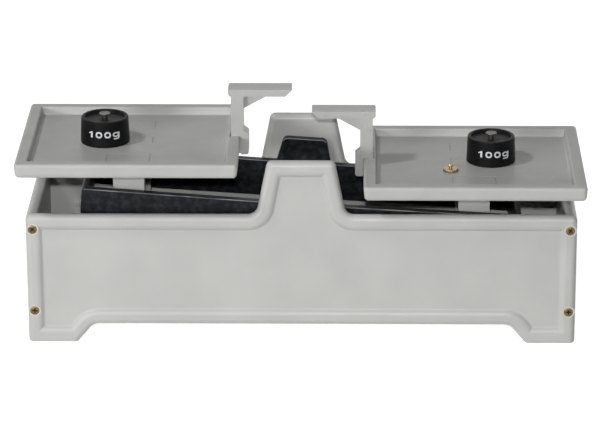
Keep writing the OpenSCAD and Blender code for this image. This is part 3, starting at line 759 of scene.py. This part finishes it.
def case_screw(side, z):
    """A countersunk screw with a slightly domed head and a cross recess."""
    shaft, head = SCREW_D / 2, SCREW_HEAD_D / 2
    screw = turned_solid("screw", [
        (0, -SCREW_L), (SCREW_TIP_R, -SCREW_L), (shaft, -SCREW_L + SCREW_TIP_L),
        (shaft, -(SCREW_HEAD_D - SCREW_D) / 2), (head, -0.05), (head - 0.25, 0.1),
        (head * 0.6, 0.24), (0, 0.30)], 64)
    combine(screw, screw_cross(side, z, 1.9, 0.5, -1.3, 1.0), "DIFFERENCE")
    return [screw]


def recess_floor(side, z):
    """A dark floor in a cross recess, painted in as the recess's shade."""
    return screw_cross(side, z, 1.88, 0.48, -1.2, -0.25)


HEAD_H = PANEL_T - SCREW_SUNK
finish_case_pair(make_panel("front_panel_skin"), "rear_panel_skin", MIRROR_Y, case_plastic,
                 (["front_panel"], ["rear_panel"]))
finish_case_pair(join("front_screw_seats", at_screws(screw_seat, PANEL_T + SEAT)),
                 "rear_screw_seats", MIRROR_Y, seat_plastic, None)
finish_case_pair(join("front_screws", at_screws(case_screw, HEAD_H)),
                 "rear_screws", MIRROR_Y, screw_brass,
                 (["case_screws_front"], ["case_screws_rear"]))
# Dark floors in the cross recesses, as painted shade
finish_case_pair(join("front_screw_recesses", at_screws(recess_floor, HEAD_H)),
                 "rear_screw_recesses", MIRROR_Y, painted_recess_shade, None)


# End panels

def end_panel(name):
    """An end with a round top and an arch, let into the round edges of the front and the rear."""
    x0, x1, half = CASE_W / 2 - PANEL_T, CASE_W / 2, INNER_Y + EDGE_R
    middle = RIM_H - EDGE_R
    points = [(x0, 0), (x1, 0), (x1, middle)]
    for k in range(1, END_STEPS):
        a = math.pi * k / END_STEPS
        points.append((x1 - EDGE_R + EDGE_R * math.cos(a), middle + EDGE_R * math.sin(a)))
    piece = prism(name, points + [(x0, middle)], -half, half)
    arch = INNER_Y - FOOT_W / 2
    corners = [(-arch, -9, 1), (arch, -9, 1), (arch, ARCH_H, END_ARCH_R),
               (-arch, ARCH_H, END_ARCH_R)]
    tool = prism("arch", outline(corners), x0 - 1, x1 + 1)
    put(tool, turn(-90, "Z"))
    combine(piece, [tool], "DIFFERENCE")
    soften(piece, 0.8, 3, 50)
    return piece


finish_case_pair(end_panel("right_end_skin"), "left_end_skin", MIRROR_X, case_plastic,
                 (["right_end_panel"], ["left_end_panel"]))


# Beam

def knife_tool(name, x, up, reach):
    """The hole for a knife, whose edge points up or down."""
    flank = KNIFE_HALF / math.tan(KNIFE_ANGLE / 2) - KNIFE_PLAY
    s = -1 if up else 1
    points = [(x, -KNIFE_PLAY * s), (x + KNIFE_HALF, flank * s), (x + KNIFE_HALF, KNIFE_BODY * s),
              (x - KNIFE_HALF, KNIFE_BODY * s), (x - KNIFE_HALF, flank * s)]
    return prism(name, points, -reach, reach)


def beam_mesh(name):
    """The frame: two side members with a hump, and two end walls."""
    far = 60.0
    corners = both_sides([
        (BEAM_HALF, -BEAM_BELOW, BEAM_CORNER_R),
        (BEAM_HALF, BEAM_ABOVE + BEAM_RISE, BEAM_CORNER_R),
        (HUMP_BASE_W / 2, BEAM_ABOVE, 1.5),
        (HUMP_TOP_W / 2, BEAM_ABOVE + HUMP_H, 4.0),
    ])
    beam = prism(name, outline(corners), -BEAM_OUT_Y, BEAM_OUT_Y)
    plan = rectangle(2 * BEAM_HALF, 2 * BEAM_OUT_Y, BEAM_CORNER_R)
    combine(beam, [column("plan", outline(plan), far)], "INTERSECT")
    hollow = rectangle(2 * (BEAM_HALF - BEAM_END_T), 2 * (BEAM_OUT_Y - BEAM_T), 1.5)
    combine(beam, [column("hollow", outline(hollow, steps=6), far)], "DIFFERENCE")
    soften(beam, 0.9, 3, 50, clamp=False)
    blind = BEAM_OUT_Y - KNIFE_SKIN
    knives = [knife_tool("main", 0, False, far), knife_tool("left", -ARM_LEN, True, blind),
              knife_tool("right", ARM_LEN, True, blind)]
    combine(beam, knives, "DIFFERENCE")
    put(beam, BEAM)
    return beam


finish_piece(beam_mesh("beam_skin"), beam_plastic, "beam", ["beam_frame"])


# Trays, drawn about their carrier's knife edge

# The foot of the hollow's wall: (distance inwards from the rim, height over the floor)
WALL_FOOT = [(0.35, 2.2), (0.62, 1.1), (0.85, 0.55), (1.15, 0.2), (1.5, 0.04), (1.8, 0)]


def tray_mesh(name):
    """The shell of a tray with its hollow, clip grooves and the pointer's slot."""
    tray_z = TRAY_RISE - TRAY_H
    arc = [math.pi / 2 * k / TRAY_STEPS for k in range(TRAY_STEPS + 1)]
    quarter = [(1 - math.sin(a), 1 - math.cos(a)) for a in arc]
    profile = [(UNDER_WALL, RAIL_TOP), (UNDER_WALL, tray_z)]
    profile += [(TRAY_DRAFT + TRAY_LOW_R * s, tray_z + TRAY_LOW_R * c) for s, c in quarter]
    profile += [(TRAY_TOP_R * c, TRAY_RISE - TRAY_TOP_R * s) for s, c in quarter]
    profile += [(TRAY_RIM_W - TRAY_IN_R * s, TRAY_RISE - TRAY_IN_R * c) for s, c in quarter]
    profile += [(TRAY_RIM_W + inset, FLOOR_Z + h) for inset, h in WALL_FOOT]
    corners = rectangle(TRAY_W, TRAY_D, TRAY_CORNER_R)
    rings = [[(p.x, p.y, z) for p in outline(corners, inset, TRAY_STEPS)] for inset, z in profile]
    verts = [v for ring in rings for v in ring]
    tray = new_mesh(name, verts, closed_faces(len(rings), len(rings[0])))
    cuts = []
    half = RAIL_W / 2
    for y in CLIP_YS:
        low, high = y - TONGUE_L / 2, y + TONGUE_L / 2
        for x0, x1, y0, y1 in (
            (-half, half, high - GROOVE_W, high),
            (-half, -half + GROOVE_W, low, high),
            (half - GROOVE_W, half, low, high),
        ):
            cuts.append(block("groove", (x0, y0, FLOOR_Z - GROOVE_D), (x1, y1, FLOOR_Z + 1)))
    slot_x, slot_y = POST_IN - POINTER_SLOT_IN, POINTER_D / 2 + CLIP_GAP
    cuts.append(block("slot", (slot_x, -slot_y, RAIL_TOP - 1),
                      (slot_x + POINTER_SLOT_W, slot_y, TRAY_RISE + 1)))
    combine(tray, cuts, "DIFFERENCE")
    return tray


def tray_hooks(name):
    """The hooks under a tray, which hold it on its rail."""
    made = []
    x, low = RAIL_W / 2 + CLIP_GAP, RAIL_TOP - (RAIL_T + CLIP_GAP + HOOK_LIP)
    high = RAIL_TOP + 0.1
    for y in CLIP_YS:
        points = [(x - HOOK_REACH, low), (x + HOOK_T, low), (x + HOOK_T, high), (x, high),
                  (x, low + HOOK_LIP), (x - HOOK_REACH, low + HOOK_LIP)]
        hook = prism("hook", points, y - HOOK_HALF, y + HOOK_HALF)
        soften(hook, 0.3, 2, 50)
        made += [hook, twin(hook, "hook", MIRROR_X)]
    return join(name, made)


def pips(places):
    """Small raised specks on a tray's floor."""
    made = []
    for x, y, r in places:
        dome = turned_solid("pip", [(0, -0.05), (r, -0.05), (r * 0.8, r * 0.4),
                                    (r * 0.35, r * 0.6), (0, r * 0.65)], 20)
        put(dome, shift(x, y, FLOOR_Z))
        made.append(dome)
    return join("pips", made)


LEFT_PIPS = [(-52.7, 41.8, 0.6), (-49.7, 41.8, 0.4), (-43.3, 51.3, 0.4)]
RIGHT_PIPS = [(-52.8, -28.5, 0.75), (-51.1, -42.1, 0.45), (51.7, 45.4, 0.5), (42.8, 51.0, 0.4)]
left_shell = join("tray_shell", [tray_mesh("tray"), tray_hooks("hooks")])
right_shell = link(left_shell.data.copy(), "tray_shell")
finish_side_pair(join("left_tray_skin", [left_shell, pips(LEFT_PIPS)]),
                 join("right_tray_skin", [right_shell, pips(RIGHT_PIPS)]), tray_plastic, "tray")


# Carriers

def carrier_mesh(name):
    """A rail on two legs with windows for the end knife, and a foot with a fork below."""
    half, top, out, foot = LEG_W / 2, RAIL_TOP - RAIL_T, LEG_OUT_Y, CARRIER_FOOT_Z
    inner = out - LEG_T
    piece = block(name, (-RAIL_W / 2, -RAIL_L / 2, top), (RAIL_W / 2, RAIL_L / 2, RAIL_TOP))
    legs = [block("leg", (-half, -out, foot), (half, -inner, top + OVERLAP))]
    for x in (-half, half - FLANGE_T):
        legs.append(block("flange", (x, -inner - LET_IN, foot),
                          (x + FLANGE_T, FLANGE_D - inner, top + OVERLAP)))
    legs.append(block("fork", (-EAR_R, EAR_OUT_Y, foot + CARRIER_FOOT_T - OVERLAP),
                      (EAR_R, EAR_OUT_Y + EAR_T, PIN_Z)))
    fork_top = disc("fork_top", EAR_R, -EAR_T, 0)
    put(fork_top, shift(0, EAR_OUT_Y, PIN_Z) @ turn(90, "X"))
    legs.append(fork_top)
    parts = mirrored(legs)
    parts.append(block("foot", (-half, LET_IN - inner, foot),
                       (half, inner - LET_IN, foot + CARRIER_FOOT_T)))
    combine(piece, parts, "UNION")
    soften(piece, 0.35, 2, 50)
    cuts = mirrored([block("window", (-WINDOW_HALF, -out - 1, WINDOW_LOW),
                           (WINDOW_HALF, 1 - inner, WINDOW_HIGH))])
    pin = disc("pin", PIN_HOLE_R, -9, 9)
    put(pin, shift(0, 0, PIN_Z) @ turn(90, "X"))
    combine(piece, cuts + [pin], "DIFFERENCE")
    return piece


left_carrier = carrier_mesh("left_carrier_skin")
right_carrier = link(left_carrier.data.copy(), "right_carrier_skin")
finish_side_pair(left_carrier, right_carrier, carrier_plastic, "carrier")


# Pointers

def pointer_mesh(name):
    """A pointer with an arm over the turret, a leg outside the rim and a hook in the tray's slot.

    Heights are over the tray's rim."""
    post_out = POST_IN + POINTER_POST_W
    tip_x = ARM_X - TIP_GAP / 2
    arm_z, arm_in = POINTER_H - POINTER_ARM_T, POST_IN - 2.2
    hook_out, barb_out = POST_IN + 1.3, POST_IN + 1.9
    hook_low, hook_z = -10.5, RAIL_TOP - TRAY_RISE - CLIP_GAP
    leg_in, leg_out = TRAY_W / 2 + POINTER_LEG_IN, TRAY_W / 2 + POINTER_LEG_OUT
    leg_low, barb_z = -12.4, 1.7 - TRAY_H
    points = outline([
        (POST_IN, hook_low, 0.3),
        (hook_out, hook_low, 0.3),
        (barb_out, hook_z - 0.6, 0.3),
        (barb_out, hook_z, 0.3),
        (hook_out, hook_z, 0.3),
        (hook_out, CLIP_GAP, 0.3),
        (leg_in, CLIP_GAP, 1.9),
        (leg_in, barb_z, 0.3),
        (leg_in - 0.7, barb_z - 0.7, 0.3),
        (leg_in - 0.7, leg_low, 0.8),
        (leg_out, leg_low, 1.8),
        (leg_out, 1.4, 1.2),
        (post_out, 4.0, 1.2),
        (post_out, arm_z, 0.8),
        (tip_x - 4.4, arm_z, 0.8),
        (tip_x, POINTER_H - 1.0, 0.3),
        (tip_x, POINTER_H, 0.4),
        (arm_in, POINTER_H, 1.0),
        (arm_in, arm_z, 2.0),
        (POST_IN - 0.3, arm_z, 0.4),
        (POST_IN - 0.3, 0.1, 0.1),
        (POST_IN, 0.1, 0.1),
    ], 0, 5)
    half, top = POINTER_D / 2, POINTER_H
    piece = prism(name, points, -half, half)
    step = [(-half - 1, top + 1), (-half - 1, top - 0.6), (-1.1, top - 0.6), (-0.7, top - 0.57),
            (5.2, top - 0.05), (5.6, top), (5.6, top + 1)]
    verts = [(x, y, z) for x in (POST_IN - 5, tip_x + 5) for y, z in step]
    combine(piece, [new_mesh("step", verts, closed_faces(2, len(step)))], "DIFFERENCE")
    soften(piece, 0.28, 2, 35)
    gusset_x = post_out + 17.3
    gusset = prism("gusset", [(post_out - 1, arm_z + 1), (post_out - 1, arm_z - 10.2),
                              (post_out, arm_z - 9.7), (gusset_x, arm_z), (gusset_x, arm_z + 1)],
                   -1.5, 1.5)
    rib = block("rib", (TRAY_W / 2 - 1.0, -4.5, -12.2), (leg_in + OVERLAP, 5.0, -0.8))
    combine(piece, [gusset, rib], "UNION")
    put(piece, shift(0, 0, TRAY_RISE))
    return piece


left_pointer = pointer_mesh("left_pointer_skin")
right_pointer = link(left_pointer.data.copy(), "right_pointer_skin")
finish_side_pair(left_pointer, right_pointer, pointer_plastic, "pointer")


# Weights

def weight_mesh(name):
    """A weight with a dished top, and a blind bore for its knob's shank."""
    h, top_r, bore = WEIGHT_H, WEIGHT_TOP_R, SHANK_R + SHANK_PLAY
    low = DISH_Z - SHANK_L - SHANK_PLAY
    return turned_solid(name, rounded_profile([
        (0, 0, 0), (WEIGHT_R, 0, 0.7), (top_r, h, 0.8), (top_r - WEIGHT_RIM_W, h, 0.4),
        (top_r - DISH_W, DISH_Z, 0.4), (bore, DISH_Z, 0), (bore, low, 0), (0, low, 0)]), 128)


def knob_mesh(name):
    """A knob with a thin head, dished on top, and its shank in the weight."""
    low, top, foot = WEIGHT_H + 1.2, WEIGHT_H + 2.1, DISH_Z - SHANK_L
    neck_r, head_r, dish_r = 2.0, 3.65, 2.3
    return turned_solid(name, rounded_profile([
        (0, foot, 0), (SHANK_R, foot, 0), (SHANK_R, DISH_Z, 0), (neck_r, DISH_Z, 0),
        (neck_r, low - 0.3, 0.1), (dish_r, low, 0), (head_r, low, 0.25), (head_r, top - 0.1, 0.35),
        (2.7, top, 0.2), (dish_r, top - 0.3, 0), (0, top - 0.3, 0)]), 64)


def ring_glyph(x, z, wide, tall, stroke):
    """An oval ring, slightly squared, with its middle at (x, z)."""
    squareness = 0.85
    made = []
    sizes = ((wide / 2, tall / 2, MARK_T), (wide / 2 - stroke, tall / 2 - stroke, 0.5))
    for half_w, half_t, y in sizes:
        points = []
        for k in range(GLYPH_STEPS):
            a = math.pi * k / (GLYPH_STEPS / 2)
            c, s = math.cos(a), math.sin(a)
            points.append((x + half_w * math.copysign(abs(c) ** squareness, c),
                           z + half_t * math.copysign(abs(s) ** squareness, s)))
        made.append(prism("ring", points, -y, y))
    combine(made[0], [made[1]], "DIFFERENCE")
    return made[0]


def mark_mesh(name):
    """The mass in plain raised figures, bent around a weight's side."""
    half = MARK_HALF
    one = prism("one", [(-half, 3.1), (-half + 0.3, 2.55), (-half + 1.6, 3.1), (-half + 1.6, 0),
                        (-half + 2.95, 0), (-half + 2.95, 4.2), (-half + 1.9, 4.2)],
                -MARK_T, MARK_T)
    rings = [ring_glyph(-3.45, 2.05, 4.4, 4.3, 1.03), ring_glyph(2.35, 2.05, 4.4, 4.3, 1.03),
             ring_glyph(8.1, 1.95, 4.5, 3.3, 0.88)]
    tail = prism("tail", [(9.55, 3.7), (9.55, 0.0), (9.25, -0.45), (6.4, -0.45), (6.4, -1.2),
                          (9.6, -1.2), (10.5, -0.85), (half, -0.05), (half, 3.7)], -0.055, 0.055)
    combine(rings[2], [tail], "UNION")
    piece = join(name, [one] + rings)
    bm = bmesh.new()
    bm.from_mesh(piece.data)
    for k in range(1, MARK_SLICES):
        at = (-half + 2 * half * k / MARK_SLICES) * MM
        bmesh.ops.bisect_plane(bm, geom=bm.verts[:] + bm.edges[:] + bm.faces[:],
                               plane_co=(at, 0, 0), plane_no=(1, 0, 0))
    for v in bm.verts:
        z = MARK_Z + v.co.z / MM
        angle = v.co.x / MM / MARK_R
        side_r = WEIGHT_R - (WEIGHT_R - WEIGHT_TOP_R) * z / WEIGHT_H
        radius = side_r + MARK_PROUD - v.co.y / MM
        v.co = Vector((radius * math.sin(angle), -radius * math.cos(angle), z)) * MM
    bm.to_mesh(piece.data)
    bm.free()
    return piece


def on_floor(place):
    return shift(place[0], place[1], FLOOR_Z + SEAT)


for side, place, at in (("left", LEFT, LEFT_WEIGHT), ("right", RIGHT, RIGHT_WEIGHT)):
    where = place @ on_floor(at)
    body = weight_mesh(side + "_weight_skin")
    put(body, where)
    finish_piece(body, iron_paint, side + "_load", [side + "_weight"])
    knob = knob_mesh(side + "_knob_skin")
    put(knob, where)
    finish_piece(knob, bright_steel, side + "_load", [side + "_weight_knob"])
    mark = mark_mesh(side + "_mark")
    put(mark, Matrix.Translation(where.to_translation()) @ Matrix.Rotation(SPIN[side], 4, "Z"))
    finish_piece(mark, letter_paint, side + "_load", ())

brass = turned_solid("brass_weight_skin", rounded_profile([
    (0, 0, 0), (5.0, 0, 0.2), (5.0, 2.0, 0.35), (1.0, 2.0, 0), (1.0, 3.0, 0), (1.7, 3.5, 0.15),
    (1.7, 4.2, 0.15), (1.2, 4.8, 0.15), (0, 4.8, 0)]), 96)
put(brass, RIGHT @ on_floor(BRASS_WEIGHT))
finish_piece(brass, bright_brass, "brass_load", ["brass_weight"])


# The other solids keep their shapes

PLAIN = {
    inner_plastic: ["base_plate"],
    link_plastic: ["lower_link"],
    rubber_pad: ["left_stop", "right_stop"],
    ground_steel: ["front_bearing", "rear_bearing", "main_knife", "left_knife", "right_knife",
                   "link_pin", "left_lower_pin", "right_lower_pin", "base_screws",
                   "bracket_screws"],
    plate_steel: ["link_bracket", "left_carrier_bearings", "right_carrier_bearings",
                  "link_pin_clip", "left_pin_clip", "right_pin_clip"],
}
for material, names in PLAIN.items():
    for name in names:
        nodes[name].data.materials.clear()
        nodes[name].data.materials.append(material)


# Floor, light and camera

def seen(tree, low, high):
    """High for rays from the camera and for reflected and refracted ones, else low."""
    path = tree.nodes.new("ShaderNodeLightPath")
    total = path.outputs["Is Camera Ray"]
    for kind in ("Is Glossy Ray", "Is Transmission Ray"):
        more = tree.nodes.new("ShaderNodeMath")
        more.operation = "MAXIMUM"
        tree.links.new(total, more.inputs[0])
        tree.links.new(path.outputs[kind], more.inputs[1])
        total = more.outputs[0]
    level = tree.nodes.new("ShaderNodeMapRange")
    level.inputs["To Min"].default_value = low
    level.inputs["To Max"].default_value = high
    tree.links.new(total, level.inputs["Value"])
    return level.outputs["Result"]


def floor_material():
    """A pale floor that shows white and still takes the object's shadow."""
    material = bpy.data.materials.new("floor")
    material.use_nodes = True
    tree = material.node_tree
    tree.nodes.clear()
    out = tree.nodes.new("ShaderNodeOutputMaterial")
    both = tree.nodes.new("ShaderNodeAddShader")
    flat = tree.nodes.new("ShaderNodeBsdfDiffuse")
    glow = tree.nodes.new("ShaderNodeEmission")
    flat.inputs["Color"].default_value = (0.75, 0.75, 0.75, 1)
    glow.inputs["Color"].default_value = (1, 1, 1, 1)
    tree.links.new(seen(tree, 0.0, 0.85), glow.inputs["Strength"])
    tree.links.new(flat.outputs[0], both.inputs[0])
    tree.links.new(glow.outputs[0], both.inputs[1])
    tree.links.new(both.outputs[0], out.inputs["Surface"])
    return material


def light_world(scene):
    """A dim world that shows white."""
    world = bpy.data.worlds.new("studio")
    scene.world = world
    world.use_nodes = True
    tree = world.node_tree
    tree.nodes.clear()
    out = tree.nodes.new("ShaderNodeOutputWorld")
    back = tree.nodes.new("ShaderNodeBackground")
    back.inputs["Color"].default_value = (1, 1, 1, 1)
    tree.links.new(seen(tree, 0.08, 1.0), back.inputs["Strength"])
    tree.links.new(back.outputs[0], out.inputs["Surface"])


def lamp(name, place, size, power):
    """A rectangular lamp that points at the middle of the object."""
    data = bpy.data.lights.new(name, "AREA")
    data.shape = "RECTANGLE"
    data.size, data.size_y = size
    data.energy = power
    light = bpy.data.objects.new(name, data)
    scene.collection.objects.link(light)
    light.location = place
    light.rotation_mode = "QUATERNION"
    light.rotation_quaternion = (Vector(AIM) - Vector(place)).to_track_quat("-Z", "Y")
    return light


FLOOR_HALF = 4000
AIM = (0, 0, 0.08)
EYE = (0.034252, -2.096030, 0.834981)
PITCH, YAW, ROLL = 0.349005, -0.017077, -0.002984
LENS_PIXELS, PICTURE_W, SENSOR_W = 3335.04, 600, 36.0

ground = block("floor", (-FLOOR_HALF, -FLOOR_HALF, -2), (FLOOR_HALF, FLOOR_HALF, 0))
ground.data.materials.append(floor_material())

scene = bpy.context.scene
light_world(scene)
lamp("flash", (0.034, -2.10, 0.95), (0.07, 0.05), 20)
lamp("low_light", (-1.2, -1.86, 0.42), (0.7, 0.24), 22)
lamp("key_light", (-1.15, -0.56, 1.81), (0.2, 0.2), 13)
lamp("back_light", (1.35, 1.9, 0.14), (0.9, 0.2), 22).visible_glossy = False

camera = bpy.data.cameras.new("camera")
eye = bpy.data.objects.new("camera", camera)
scene.collection.objects.link(eye)
scene.camera = eye
ahead = Vector((math.sin(YAW) * math.cos(PITCH), math.cos(YAW) * math.cos(PITCH),
                -math.sin(PITCH)))
right = Vector((math.cos(YAW), -math.sin(YAW), 0))
up = right.cross(ahead)
rolled_right = right * math.cos(ROLL) + up * math.sin(ROLL)
rolled_up = up * math.cos(ROLL) - right * math.sin(ROLL)
eye.rotation_mode = "QUATERNION"
eye.rotation_quaternion = Matrix((rolled_right, rolled_up, -ahead)).transposed().to_quaternion()
eye.location = EYE
camera.sensor_fit = "HORIZONTAL"
camera.sensor_width = SENSOR_W
camera.lens = LENS_PIXELS / PICTURE_W * SENSOR_W
camera.clip_start, camera.clip_end = 0.1, 20
scene.view_settings.view_transform = "Standard"
